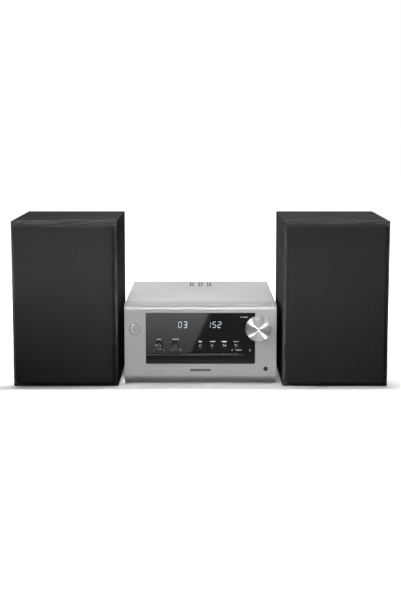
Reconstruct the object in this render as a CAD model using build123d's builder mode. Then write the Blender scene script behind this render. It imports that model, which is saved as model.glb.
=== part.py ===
from build123d import *
import math
import os

# A mini hifi system: a silver CD amplifier standing between two wood-grain bookshelf speakers.
# Millimetres. +X is to the right of a listener facing the system, +Y goes to the back, +Z is up, and the
# origin is on the floor under the middle of the whole set.

os.makedirs("parts", exist_ok=True)

# ---- driving dimensions of the amplifier ---------------------------------------------------------------
amp_width = 210.0
amp_top = 113.0
amp_depth = 249.0
amp_set_back = 6.0           # amplifier's front behind the speakers' cabinet front
foot_height = 5.0
socket_proud = 4.0           # how far the rear connectors stand out
sheet = 1.0                  # steel sheet of cover, rear panel and chassis
bezel_depth = 27.0           # front moulding, front to back
bezel_wall = 3.0
bezel_side = 2.5             # its wall at the sides, top and bottom
bezel_round = 8.0            # its long top and bottom edges
bezel_edge = 1.0             # its side edges
window_half_width = 75.5
window_bottom, window_top = 29.7, 101.2
tray_line = 43.2             # top of the disc drawer's front
control_row = 55.0           # height of the tone knobs and the small buttons
gap = 0.2                    # clearance round a fitted panel

# ---- driving dimensions of the speakers ----------------------------------------------------------------
speaker_width = 144.0
speaker_height = 228.0
speaker_depth = 178.0
speaker_inner_face = 113.2   # from the middle of the set to a speaker's inner side
cabinet_wall = 9.0
baffle_thickness = 12.0
grille_proud = 11.6
grille_border = 4.15
grille_round = 4.2           # its front edges
cloth_thickness = 0.7
woofer_height = 84.0
tweeter_height = 176.0
port_height = 168.0
terminal_height = 62.0
cone_stroke = 3.0

# ---- places that follow --------------------------------------------------------------------------------
speaker_front = (grille_proud - amp_set_back - amp_depth - socket_proud) / 2
amp_front = speaker_front + amp_set_back
amp_back = amp_front + amp_depth
speaker_back = speaker_front + speaker_depth
speaker_middle = speaker_inner_face + speaker_width / 2

# ---- the disc drive ------------------------------------------------------------------------------------
tray_middle = -7.5
tray_width = 130.0
tray_length = 155.0
tray_floor, tray_rim = 33.5, 38.5
tray_start = amp_front + 5.0
disc_radius = 60.5
disc_y = tray_start + 67.0
slot_width = 38.0
gear_module = 1.0
tray_gear_teeth, pinion_teeth, feed_teeth = 24, 12, 16
gear_low, gear_high = 30.1, 33.1
tray_gear_x, tray_gear_y = 31.0, amp_front + 20.0
pinion_x = tray_gear_x - gear_module * (tray_gear_teeth + pinion_teeth) / 2
deck_low, deck_high = 20.0, 22.0
motor_radius, motor_height = 12.1, 12.3
sled_start = disc_y + 24.0
rod_spread = 13.0
rod_height = 29.0
feed_low, feed_high = 25.5, 28.0
feed_x = tray_middle + 28.5
feed_y = disc_y + 50.0

volume_x, volume_z = 79.3, 79.3
power_x, power_z = -90.3, 78.3
tone_x = {"bass": -57.4, "treble": -35.0}
small_button_x = {"stop": 0.2, "back": 16.6, "forward": 33.0, "source": 49.4}
jack_x, jack_z = 90.0, 22.8
eject_left = 60.8
shaft_radius, shaft_hole = 3.0, 3.3
button_radius, button_hole = 2.85, 3.05
power_radius, power_hole = 6.9, 7.3
jack_radius, jack_hole = 3.0, 3.2


def save(solid, name):
    """Names a finished piece and writes it as its own STEP file."""
    solid.label = name
    export_step(solid, f"parts/{name}.step")


def facing(y):
    """The upright plane at depth y, seen from the front: its own x is X and its own y is Z."""
    return Plane(origin=(0, y, 0), x_dir=(1, 0, 0), z_dir=(0, -1, 0))


def block(x, y, z, mode=Mode.ADD):
    """A box between two corners, each axis given as (low, high)."""
    with Locations(((x[0] + x[1]) / 2, (y[0] + y[1]) / 2, (z[0] + z[1]) / 2)):
        return Box(x[1] - x[0], y[1] - y[0], z[1] - z[0], mode=mode)


def turned(points, x, z, mode=Mode.ADD):
    """A solid of revolution about the front-to-back line at (x, z), from points of (depth y, radius)."""
    with BuildSketch(Plane(origin=(x, 0, z), x_dir=(0, 1, 0), z_dir=(1, 0, 0))) as half_section:
        with BuildLine():
            Polyline(*points, close=True)
        make_face()
    revolve(half_section.sketch, axis=Axis((x, 0, z), (0, 1, 0)), mode=mode)


def turned_upright(points, x, y, mode=Mode.ADD):
    """A solid of revolution about the vertical line at (x, y), from points of (height z, radius)."""
    with BuildSketch(Plane(origin=(x, y, 0), x_dir=(0, 0, 1), z_dir=(0, 1, 0))) as half_section:
        with BuildLine():
            Polyline(*points, close=True)
        make_face()
    revolve(half_section.sketch, axis=Axis((x, y, 0), (0, 0, 1)), mode=mode)


def rod(x, y, z, radius, mode=Mode.ADD):
    """A round bar or hole along the one axis that is given as (low, high)."""
    if isinstance(x, tuple):
        plane, length = Plane(origin=(x[0], y, z), x_dir=(0, 1, 0), z_dir=(1, 0, 0)), x[1] - x[0]
    elif isinstance(y, tuple):
        plane, length = Plane(origin=(x, y[0], z), x_dir=(1, 0, 0), z_dir=(0, 1, 0)), y[1] - y[0]
    else:
        plane, length = Plane(origin=(x, y, z[0]), x_dir=(1, 0, 0), z_dir=(0, 0, 1)), z[1] - z[0]
    with BuildSketch(plane) as disc:
        Circle(radius)
    extrude(disc.sketch, amount=length, mode=mode)


# Teeth are a little thinner than half the pitch, so that meshed wheels run with backlash.
tooth_half = 0.56 * gear_module
tooth_out, tooth_in = 0.85 * gear_module, 1.2 * gear_module
tooth_slope = math.tan(math.radians(20))
tip_half = tooth_half - tooth_out * tooth_slope
root_half = tooth_half + tooth_in * tooth_slope


def toothed_wheel(teeth, x, y, low, high, turn=0.0):
    """A spur wheel standing on the vertical axis at (x, y), with a tooth at angle turn."""
    pitch_radius = gear_module * teeth / 2
    with BuildSketch(Plane(origin=(x, y, low), z_dir=(0, 0, 1))) as wheel:
        Circle(pitch_radius - tooth_in + 0.05)
        with PolarLocations(0, teeth, start_angle=turn):
            Polygon(
                (pitch_radius - tooth_in, -root_half * 0.8),
                (pitch_radius + tooth_out, -tip_half),
                (pitch_radius + tooth_out, tip_half),
                (pitch_radius - tooth_in, root_half * 0.8),
                align=None,
            )
    extrude(wheel.sketch, amount=high - low)


def rack_teeth(pitch_line, way, first, count, low, high):
    """Rack teeth along Y that stick out of a bar in the X direction way, each centred one pitch on."""
    pitch = math.pi * gear_module
    for step in range(count):
        middle = first + step * pitch
        with BuildSketch(Plane(origin=(0, 0, low), z_dir=(0, 0, 1))) as tooth:
            with BuildLine():
                Polyline(
                    (pitch_line - way * (tooth_in + 0.1), middle - root_half),
                    (pitch_line + way * tooth_out, middle - tip_half),
                    (pitch_line + way * tooth_out, middle + tip_half),
                    (pitch_line - way * (tooth_in + 0.1), middle + root_half),
                    close=True,
                )
            make_face()
        extrude(tooth.sketch, amount=high - low)


# ======== amplifier: case ===============================================================================
case_half = amp_width / 2
cover_half = case_half - 0.5
cover_top = amp_top - 0.8
cover_round = 2.0
chassis_top = foot_height + sheet

# Silver front moulding: a shallow tray open to the back, with large rounds along its top and bottom.
cavity_front = amp_front + bezel_wall
with BuildPart() as front_cavity:
    block(
        (-case_half + bezel_side, case_half - bezel_side),
        (cavity_front, amp_front + bezel_depth + 1),
        (foot_height + bezel_side, amp_top - bezel_side),
    )
    fillet(front_cavity.edges().filter_by(Axis.X).group_by(Axis.Y)[0], radius=bezel_round - bezel_side)

with BuildPart() as front_panel:
    block((-case_half, case_half), (amp_front, amp_front + bezel_depth), (foot_height, amp_top))
    fillet(front_panel.edges().filter_by(Axis.X).group_by(Axis.Y)[0], radius=bezel_round)
    for side in (0, -1):
        rim = front_panel.faces().sort_by(Axis.X)[side].edges()
        fillet(rim.sort_by(Axis.Y)[:-1], radius=bezel_edge)
    add(front_cavity.part, mode=Mode.SUBTRACT)
    block(
        (-window_half_width, window_half_width),
        (amp_front - 1, cavity_front + 1),
        (window_bottom, window_top),
        mode=Mode.SUBTRACT,
    )
    through = (amp_front - 1, cavity_front + 1)
    rod(volume_x, through, volume_z, shaft_hole, mode=Mode.SUBTRACT)
    rod(power_x, through, power_z, power_hole, mode=Mode.SUBTRACT)
    rod(jack_x, through, jack_z, jack_hole, mode=Mode.SUBTRACT)
save(front_panel.part, "front_panel")

# Gloss black window above the disc drawer, with a flange that hooks behind the moulding's top edge.
window_face = amp_front + 0.4
with BuildPart() as display_window:
    block(
        (-window_half_width + gap, window_half_width - gap),
        (window_face, amp_front + 5.0),
        (tray_line + 0.9, window_top - gap),
    )
    block(
        (-window_half_width + gap, window_half_width - gap),
        (cavity_front + 0.1, amp_front + 5.0),
        (window_top - gap - 1.0, window_top + 3.0),
    )
    shaft_run = (amp_front - 1, amp_front + 6)
    for x in tone_x.values():
        rod(x, shaft_run, control_row, shaft_hole, mode=Mode.SUBTRACT)
    for x in small_button_x.values():
        rod(x, shaft_run, control_row, button_hole, mode=Mode.SUBTRACT)
    # The volume control's bush passes beside the window, behind the moulding.
    rod(volume_x, (cavity_front, amp_front + 6), volume_z, 5.2, mode=Mode.SUBTRACT)
save(display_window.part, "display_window")

# Silver-painted steel cover: top and two sides in one bent sheet, with three pairs of vent slots.
vent_start, vent_length, vent_width = 190.0, 44.0, 2.2
with BuildPart() as top_cover:
    cover_run = (amp_front + bezel_depth, amp_back - sheet)
    block((-cover_half, cover_half), cover_run, (chassis_top + 0.3, cover_top))
    fillet(top_cover.edges().filter_by(Axis.Y).group_by(Axis.Z)[-1], radius=cover_round)
    block(
        (-cover_half + sheet, cover_half - sheet),
        (cover_run[0] - 1, cover_run[1] + 1),
        (0, cover_top - sheet),
        mode=Mode.SUBTRACT,
    )
    with BuildSketch(Plane.XY.offset(cover_top - sheet - 1)):
        with Locations((0, amp_front + vent_start + vent_length / 2)):
            with GridLocations(13.2, 0, 3, 1):
                with GridLocations(3.9, 0, 2, 1):
                    SlotOverall(vent_length, vent_width, rotation=90)
    extrude(amount=sheet + 2, mode=Mode.SUBTRACT)
    # Two cooling grilles low on each side.
    with BuildSketch(Plane(origin=(-cover_half - 1, 0, 0), x_dir=(0, 1, 0), z_dir=(1, 0, 0))):
        with Locations((amp_back - 70, 40)):
            with GridLocations(6.5, 0, 12, 1):
                SlotOverall(24, 2.6, rotation=90)
    extrude(amount=2 * cover_half + 2, mode=Mode.SUBTRACT)
save(top_cover.part, "top_cover")

# Steel floor of the amplifier with turned-up sides, and the standoffs that carry the boards.
board_under = 14.0
with BuildPart() as bottom_chassis:
    floor_run = (amp_front + bezel_depth + gap, amp_back - sheet)
    block((-cover_half + 2, cover_half - 2), floor_run, (foot_height, chassis_top))
    for side in (-1, 1):
        edge = sorted((side * (cover_half - 2), side * (cover_half - 3)))
        block(tuple(edge), floor_run, (chassis_top, 20))
    with Locations((-27, 92, chassis_top)):
        with GridLocations(120, 56, 2, 2):
            Cylinder(3, board_under - chassis_top, align=(Align.CENTER, Align.CENTER, Align.MIN))
    with BuildSketch(Plane.XY.offset(foot_height - 1)):
        with Locations((60, 20)):
            with GridLocations(7, 0, 8, 1):
                SlotOverall(34, 3, rotation=90)
    extrude(amount=3, mode=Mode.SUBTRACT)
save(bottom_chassis.part, "bottom_chassis")

# Rear panel: one upright sheet with cut-outs for everything that plugs in.
rear_plane = amp_back - sheet
speaker_block_x, speaker_block_z = (14.0, 54.0), (22.0, 48.0)
inlet_x, inlet_z = (66.0, 92.0), (22.0, 42.0)
aux_x, aux_z = (-92.0, -62.0), (30.0, 46.0)
antenna_x, antenna_z = (-92.0, -62.0), (72.0, 88.0)
with BuildPart() as rear_panel:
    block((-cover_half, cover_half), (rear_plane, amp_back), (foot_height, cover_top))
    fillet(rear_panel.edges().filter_by(Axis.Y).group_by(Axis.Z)[-1], radius=cover_round)
    cut = (rear_plane - 1, amp_back + 1)
    for x, z in (
        (speaker_block_x, speaker_block_z),
        (inlet_x, inlet_z),
        (aux_x, aux_z),
        (antenna_x, antenna_z),
    ):
        block((x[0] - gap, x[1] + gap), cut, (z[0] - gap, z[1] + gap), mode=Mode.SUBTRACT)
    with BuildSketch(facing(amp_back + 1)):
        with Locations((20, 82)):
            with GridLocations(7, 0, 11, 1):
                SlotOverall(34, 3.2, rotation=90)
    extrude(amount=sheet + 2, mode=Mode.SUBTRACT)
save(rear_panel.part, "rear_panel")

# Four round feet under the chassis and the moulding's rear edge.
with BuildPart() as feet:
    with Locations((0, (amp_front + amp_back) / 2, 0)):
        with GridLocations(2 * (case_half - 22), amp_depth - 74, 2, 2):
            Cylinder(9, foot_height, align=(Align.CENTER, Align.CENTER, Align.MIN))
    chamfer(feet.edges().group_by(Axis.Z)[0], length=0.8)
save(feet.part, "feet")

# ======== amplifier: controls ===========================================================================
encoder_front, encoder_back = amp_front + 6.0, amp_front + 14.6
knob_front = amp_front - 16.0

# Big metal volume knob: a skirt ring, a dark groove, then the drum with its dished, spun face and shaft.
with BuildPart() as volume_knob:
    turned(
        [
            (knob_front + 0.5, 0),
            (knob_front + 0.3, 14.4),
            (knob_front, 14.8),
            (knob_front + 0.9, 15.9),
            (amp_front - 4.4, 16.1),
            (amp_front - 4.4, 15.0),
            (amp_front - 3.4, 15.0),
            (amp_front - 3.4, 16.9),
            (amp_front - 2.9, 17.4),
            (amp_front - 0.6, 17.4),
            (amp_front - 0.6, 14.5),
            (amp_front - 2.0, 14.5),
            (amp_front - 2.0, shaft_radius),
            (encoder_back - 1.5, shaft_radius),
            (encoder_back - 1.5, 0),
        ],
        volume_x,
        volume_z,
    )
save(volume_knob.part, "volume_knob")

# Small black tone knobs, each with a pointer groove at twelve o'clock and its shaft.
tone_proud, tone_radius = 9.5, 5.6
for name, x in tone_x.items():
    with BuildPart() as tone_knob:
        turned(
            [
                (amp_front - tone_proud, 0),
                (amp_front - tone_proud, tone_radius - 0.9),
                (amp_front - tone_proud + 0.5, tone_radius - 0.4),
                (amp_front - 0.4, tone_radius),
                (amp_front - 0.4, shaft_radius),
                (encoder_back - 1.5, shaft_radius),
                (encoder_back - 1.5, 0),
            ],
            x,
            control_row,
        )
        block(
            (x - 0.4, x + 0.4),
            (amp_front - tone_proud - 1, amp_front - tone_proud + 0.5),
            (control_row + 1.6, control_row + tone_radius + 1),
            mode=Mode.SUBTRACT,
        )
    save(tone_knob.part, f"{name}_knob")

# Encoder and the two tone potentiometers that the knobs' shafts turn in.
with BuildPart() as rotary_controls:
    for x, z in ((volume_x, volume_z), *((x, control_row) for x in tone_x.values())):
        block((x - 5.5, x + 5.5), (encoder_front + 2.5, encoder_back), (z - 6, z + 6))
        rod(x, (encoder_front, encoder_front + 2.5), z, 4.4)
        rod(x, (encoder_front - 1, encoder_back - 1.2), z, 3.05, mode=Mode.SUBTRACT)
save(rotary_controls.part, "rotary_controls")

# Power button, nearly flush, with a shallow dished face and a flange that keeps it behind the moulding.
with BuildPart() as power_button:
    turned(
        [
            (amp_front - 0.3, 0),
            (amp_front - 0.9, power_radius - 0.7),
            (amp_front - 0.5, power_radius),
            (cavity_front + 0.3, power_radius),
            (cavity_front + 0.3, 8.6),
            (cavity_front + 1.8, 8.6),
            (cavity_front + 1.8, 3.0),
            (amp_front + 12.0, 3.0),
            (amp_front + 12.0, 0),
        ],
        power_x,
        power_z,
    )
save(power_button.part, "power_button")

# Four small domed buttons in the window.
for name, x in small_button_x.items():
    with BuildPart() as small_button:
        turned(
            [
                (amp_front - 1.8, 0),
                (amp_front - 1.7, 1.6),
                (amp_front - 1.3, 2.5),
                (amp_front - 0.8, button_radius),
                (amp_front + 5.3, button_radius),
                (amp_front + 5.3, 4.0),
                (amp_front + 6.5, 4.0),
                (amp_front + 6.5, 1.8),
                (amp_front + 12.2, 1.8),
                (amp_front + 12.2, 0),
            ],
            x,
            control_row,
        )
    save(small_button.part, f"{name}_button")

# The drawer front and the eject key share one profile: a lit top chamfer, an upright face and a lower
# part that leans inwards.
def drawer_profile(left, right):
    with BuildSketch(Plane(origin=(left, 0, 0), x_dir=(0, 1, 0), z_dir=(1, 0, 0))) as side_view:
        with BuildLine():
            Polyline(
                (window_face + 0.9, tray_line),
                (window_face, tray_line - 1.1),
                (window_face, 35.4),
                (window_face + 1.6, window_bottom + gap),
                (tray_start, window_bottom + gap),
                (tray_start, tray_line),
                close=True,
            )
        make_face()
    extrude(side_view.sketch, amount=right - left)


with BuildPart() as tray_front:
    drawer_profile(-window_half_width + gap, eject_left - 0.5)
save(tray_front.part, "tray_front")

with BuildPart() as eject_button:
    drawer_profile(eject_left, window_half_width - gap)
    block((66, 70), (tray_start, amp_front + 12.2), (34, 42))
save(eject_button.part, "eject_button")

# Board behind the window that carries the switches, and the display module on it.
board_face = amp_front + 15.0
with BuildPart() as front_board:
    block((-99, 99), (board_face, board_face + 1.6), (46, 108))
    for x in small_button_x.values():
        block((x - 3, x + 3), (board_face - 1.4, board_face), (control_row - 3, control_row + 3))
    block((power_x - 3, power_x + 3), (board_face - 1.6, board_face), (power_z - 3, power_z + 3))
    block((64.5, 75), (board_face, board_face + 1.6), (32, 46))
    block((65, 71), (board_face - 1.4, board_face), (35, 41))
    block((-40, 40), (amp_front + 7.5, board_face), (72, 97))
    block((-60, -20), (board_face + 1.6, board_face + 6), (60, 74))
    block((10, 30), (board_face + 1.6, board_face + 4), (56, 76))
save(front_board.part, "front_board")

# Headphone socket: a black bush through the moulding with its body behind.
jack_bore = 1.8
with BuildPart() as headphone_jack:
    rod(jack_x, (amp_front - 0.3, cavity_front + 0.2), jack_z, jack_radius)
    block((jack_x - 4.5, jack_x + 4.5), (cavity_front + 0.2, amp_front + 15), (jack_z - 4.5, jack_z + 4.5))
    rod(jack_x, (amp_front - 1, amp_front + 13.7), jack_z, jack_bore, mode=Mode.SUBTRACT)
save(headphone_jack.part, "headphone_jack")

# ======== amplifier: disc drive =========================================================================
rail_left = (tray_middle - tray_width / 2 - 5.5, tray_middle - tray_width / 2 - 0.4)
rail_right = (tray_middle + tray_width / 2 + 0.4, tray_middle + tray_width / 2 + 5.5)
deck_run = (amp_front + 8.0, disc_y + 100.0)
bridge_run = (disc_y - 18.0, disc_y + 18.0)
bridge_low, bridge_high = 43.0, 45.0
puck_neck = 11.2

# Moulded drive frame: deck, two side rails that guide the drawer, and the clamp bridge over the disc.
with BuildPart() as loader_frame:
    block((rail_left[0], rail_right[1]), deck_run, (deck_low, deck_high))
    for rail, inward in ((rail_left, 1), (rail_right, -1)):
        block(rail, deck_run, (deck_high, 41))
        lip = sorted((rail[0 if inward > 0 else 1], rail[1 if inward > 0 else 0] + inward * 4.0))
        block(tuple(lip), deck_run, (tray_rim + 0.4, 41))
        block(tuple(lip), deck_run, (31.2, tray_floor - 0.2))
        block(rail, bridge_run, (41, bridge_high))
    block((rail_left[0], rail_right[1]), bridge_run, (bridge_low, bridge_high))
    rod(tray_middle, disc_y, (bridge_low - 1, bridge_high + 1), puck_neck + 0.6, mode=Mode.SUBTRACT)
    # Opening under the sled, and the hole that the loading motor's shaft comes up through.
    block(
        (tray_middle - 10, tray_middle + 10),
        (disc_y + 20, disc_y + 74),
        (deck_low - 1, deck_high + 1),
        mode=Mode.SUBTRACT,
    )
    rod(pinion_x, tray_gear_y, (deck_low - 1, deck_high + 1), 2.2, mode=Mode.SUBTRACT)
    # Posts for the two gears, and blocks that hold the sled's rods.
    rod(tray_gear_x, tray_gear_y, (deck_high, gear_low - 0.1), 4.0)
    rod(tray_gear_x, tray_gear_y, (gear_low - 0.1, gear_high), 2.0)
    rod(feed_x, feed_y, (deck_high, feed_low - 0.1), 4.0)
    rod(feed_x, feed_y, (feed_low - 0.1, feed_high), 2.0)
    for end in (disc_y + 14.0, disc_y + 82.0):
        for side in (-1, 1):
            x = tray_middle + side * rod_spread
            depth = (end - 1.5, end + 1.5) if end > disc_y + 50 else (end - 4.5, end - 1.5)
            block((x - 3, x + 3), depth, (deck_high, rod_height + 3))
            rod(x, (depth[0] - 1, depth[1] + 1), rod_height, 1.5, mode=Mode.SUBTRACT)
    # Four legs to the chassis.
    with Locations((tray_middle, (deck_run[0] + deck_run[1]) / 2, chassis_top)):
        with GridLocations(tray_width - 8, deck_run[1] - deck_run[0] - 47, 2, 2):
            Cylinder(4, deck_low - chassis_top, align=(Align.CENTER, Align.CENTER, Align.MIN))
save(loader_frame.part, "loader_frame")

# Disc drawer: dished for 12 cm and 8 cm discs, slotted from its middle to its back edge, with a rack below.
rack_line = tray_gear_x + gear_module * tray_gear_teeth / 2
pitch = math.pi * gear_module
with BuildPart() as cd_tray:
    tray_x = (tray_middle - tray_width / 2, tray_middle + tray_width / 2)
    block(tray_x, (tray_start, tray_start + tray_length), (tray_floor, tray_rim))
    rod(tray_middle, disc_y, (tray_rim - 2.0, tray_rim + 1), disc_radius, mode=Mode.SUBTRACT)
    rod(tray_middle, disc_y, (tray_rim - 3.4, tray_rim + 1), 40.5, mode=Mode.SUBTRACT)
    block(
        (tray_middle - slot_width / 2, tray_middle + slot_width / 2),
        (disc_y - 20, tray_start + tray_length + 1),
        (tray_floor - 1, tray_rim + 1),
        mode=Mode.SUBTRACT,
    )
    fillet(cd_tray.edges().filter_by(Axis.Z).group_by(Axis.Y)[-1], radius=3.0)
    rack_bar = (rack_line + tooth_in, rack_line + tooth_in + 3)
    block(rack_bar, (tray_start + 4, tray_start + tray_length - 4), (gear_low, tray_floor))
    first_tooth = tray_gear_y - 3.5 * pitch
    tooth_count = int((tray_start + tray_length - 4.8 - first_tooth) / pitch) + 1
    rack_teeth(rack_line, -1, first_tooth, tooth_count, gear_low, tray_floor)
save(cd_tray.part, "cd_tray")

# Loading gear on its post, and the motor pinion that drives it.
with BuildPart() as tray_gear:
    toothed_wheel(tray_gear_teeth, tray_gear_x, tray_gear_y, gear_low, gear_high)
    rod(tray_gear_x, tray_gear_y, (gear_low - 1, gear_high + 1), 2.05, mode=Mode.SUBTRACT)
save(tray_gear.part, "tray_gear")

with BuildPart() as drive_pinion:
    toothed_wheel(pinion_teeth, pinion_x, tray_gear_y, gear_low, gear_high, turn=180 / pinion_teeth)
    rod(pinion_x, tray_gear_y, (24, gear_low), 4.0)
    rod(pinion_x, tray_gear_y, (deck_low - 8, 24), 1.0)
save(drive_pinion.part, "drive_pinion")

# Two like motors: the loading motor under the deck and the spindle motor on it.
with BuildPart() as drive_motors:
    for x, y, low in (
        (pinion_x, tray_gear_y, deck_low - motor_height),
        (tray_middle, disc_y, deck_high),
    ):
        high = low + motor_height
        can = [(low, 0), (low, motor_radius - 1), (low + 1, motor_radius), (high, motor_radius), (high, 0)]
        turned_upright(can, x, y)
        rod(x, y, (high - 8.5, high + 1), 1.05, mode=Mode.SUBTRACT)
save(drive_motors.part, "drive_motors")

# Turntable with the cone that centres a disc, on the spindle motor's shaft.
seat_height = 37.6
with BuildPart() as turntable:
    spindle_top = deck_high + motor_height
    turned_upright(
        [
            (spindle_top - 8, 0),
            (spindle_top - 8, 1.0),
            (spindle_top + 0.5, 1.0),
            (spindle_top + 0.5, 5),
            (seat_height - 1.8, 5),
            (seat_height - 1.8, 14.4),
            (seat_height, 14.4),
            (seat_height, 7.4),
            (seat_height + 1.2, 7.3),
            (seat_height + 2.4, 5.6),
            (seat_height + 2.4, 0),
        ],
        tray_middle,
        disc_y,
    )
save(turntable.part, "turntable")

# Clamp puck hanging in the bridge: a disc below, a neck through the hole and a rim above.
with BuildPart() as clamp_puck:
    turned_upright(
        [
            (seat_height + 2.7, 0),
            (seat_height + 2.7, 6.0),
            (seat_height + 1.5, 9.0),
            (seat_height + 1.5, 15.5),
            (bridge_low - 0.4, 15.5),
            (bridge_low - 0.4, puck_neck),
            (bridge_high + 0.2, puck_neck),
            (bridge_high + 0.2, 14.0),
            (bridge_high + 1.4, 14.0),
            (bridge_high + 2.0, 12.0),
            (bridge_high + 2.0, 0),
        ],
        tray_middle,
        disc_y,
    )
save(clamp_puck.part, "clamp_puck")

# Steel rods that the laser sled slides on.
with BuildPart() as guide_rods:
    for side in (-1, 1):
        rod(tray_middle + side * rod_spread, (disc_y + 9.6, disc_y + 83.4), rod_height, 1.45)
save(guide_rods.part, "guide_rods")

# Laser sled with its lens, and the rack that the feed gear moves.
feed_line = feed_x - gear_module * feed_teeth / 2
with BuildPart() as pickup_sled:
    block((tray_middle - 17, tray_middle + 17), (sled_start - 9.5, sled_start + 11), (25, 34.2))
    rod(tray_middle, sled_start, (34.2, 35.0), 5.5)
    rod(tray_middle, sled_start, (35.0, 36.4), 3.4)
    for side in (-1, 1):
        rod(
            tray_middle + side * rod_spread,
            (sled_start - 20, sled_start + 20),
            rod_height,
            1.5,
            mode=Mode.SUBTRACT,
        )
    arm = (tray_middle + 17, feed_line - tooth_in)
    block(arm, (sled_start - 9.5, feed_y + 5), (feed_low, feed_high))
    rack_end = feed_y + 1.5 * pitch
    for_teeth = int((rack_end - (sled_start - 9)) / pitch)
    rack_teeth(feed_line, 1, rack_end - for_teeth * pitch, for_teeth, feed_low, feed_high)
save(pickup_sled.part, "pickup_sled")

with BuildPart() as feed_gear:
    toothed_wheel(feed_teeth, feed_x, feed_y, feed_low, feed_high)
    rod(feed_x, feed_y, (feed_low - 1, feed_high + 1), 2.05, mode=Mode.SUBTRACT)
save(feed_gear.part, "feed_gear")

# ======== amplifier: electronics ========================================================================
board_top = board_under + 1.6
with BuildPart() as main_board:
    block((-97, 43), (60, 124), (board_under, board_top))
    for x, y, radius, height in (
        (-84, 72, 8, 28),
        (-64, 72, 8, 28),
        (-84, 112, 5, 14),
        (-50, 110, 5, 14),
        (-66, 112, 5, 14),
        (36, 70, 6, 20),
    ):
        rod(x, y, (board_top, board_top + height), radius)
    block((-58, -42), (80, 96), (board_top, board_top + 2))
    block((-84, -72), (86, 98), (board_top, board_top + 2))
    block((33, 41), (84, 116), (board_top, board_top + 9))
save(main_board.part, "main_board")

# Finned heat sink standing under the top vents.
with BuildPart() as heat_sink:
    block((-32, 28), (94, 98), (board_top, 92))
    for step in range(11):
        x = -31 + step * 5.8
        block((x, x + 1.6), (76, 94), (board_top, 92))
        block((x, x + 1.6), (98, 116), (board_top, 92))
save(heat_sink.part, "heat_sink")

# Mains transformer: laminated core with its windings on a steel foot plate.
with BuildPart() as power_transformer:
    block((52, 98), (57, 103), (chassis_top, chassis_top + 1.5))
    block((55, 95), (60, 100), (chassis_top + 1.5, 52))
    block((62, 88), (55, 60), (chassis_top + 8, 46))
    block((62, 88), (100, 105), (chassis_top + 8, 46))
save(power_transformer.part, "power_transformer")

# Rear connectors, each in its own moulded block: four speaker sockets, two phono sockets, one aerial.
block_back = amp_back + socket_proud
socket_spacing = 10.0
speaker_socket_z, speaker_socket_radius, speaker_collar_radius = 35.0, 2.2, 4.2
phono_x, phono_z, phono_radius, phono_collar_radius = (-84.5, -69.5), 38.0, 1.65, 4.1
aerial_z, aerial_radius, aerial_collar_radius = 80.0, 1.2, 4.6
block_gap = 0.4


def socket(x, z, block_x, block_z, bore_radius, collar_radius):
    """One moulded block behind the panel, its round collar and the hole for a plug."""
    block(block_x, (amp_back - 14, amp_back + 1.5), block_z)
    rod(x, (amp_back + 1.5, block_back), z, collar_radius)
    rod(x, (amp_back - 10, block_back + 1), z, bore_radius, mode=Mode.SUBTRACT)


with BuildPart() as rear_sockets:
    half_block = (socket_spacing - block_gap) / 2
    for step in range(4):
        x = speaker_block_x[0] + socket_spacing * (step + 0.5)
        block_x = (x - half_block, x + half_block)
        socket(x, speaker_socket_z, block_x, speaker_block_z, speaker_socket_radius, speaker_collar_radius)
    aux_split = (aux_x[0] + aux_x[1]) / 2
    phono_right = (aux_x[0], aux_split - block_gap / 2)
    phono_left = (aux_split + block_gap / 2, aux_x[1])
    socket(phono_x[0], phono_z, phono_right, aux_z, phono_radius, phono_collar_radius)
    socket(phono_x[1], phono_z, phono_left, aux_z, phono_radius, phono_collar_radius)
    socket(phono_x[0], aerial_z, antenna_x, antenna_z, aerial_radius, aerial_collar_radius)
save(rear_sockets.part, "rear_sockets")

# Two-pin mains inlet with its figure-of-eight well.
with BuildPart() as ac_inlet:
    block(inlet_x, (amp_back - 20, amp_back + 1.5), inlet_z)
    with BuildSketch(facing(amp_back + 2)):
        with Locations((79, 32)):
            SlotOverall(17, 9)
    extrude(amount=15, mode=Mode.SUBTRACT)
    for x in (75, 83):
        rod(x, (amp_back - 14, amp_back - 2), 32, 1.2)
save(ac_inlet.part, "ac_inlet")

# ======== speakers ======================================================================================
# Every piece is built on the set's middle line and then carried to each side.
half_width = speaker_width / 2
inside_half = half_width - cabinet_wall
inside_x = (-inside_half, inside_half)
inside_z = (cabinet_wall, speaker_height - cabinet_wall)
back_start = speaker_back - cabinet_wall
flange_radius, cone_edge = 58.0, 40.0

# Wrapped fibreboard sleeve: top, sides and bottom folded from one board, open at front and back.
with BuildPart() as cabinet:
    block((-half_width, half_width), (speaker_front, speaker_back), (0, speaker_height))
    fillet(cabinet.edges().filter_by(Axis.Y), radius=1.2)
    chamfer(cabinet.faces().sort_by(Axis.Y)[0].edges(), length=0.7)
    block(inside_x, (speaker_front - 1, speaker_back + 1), inside_z, mode=Mode.SUBTRACT)

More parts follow.
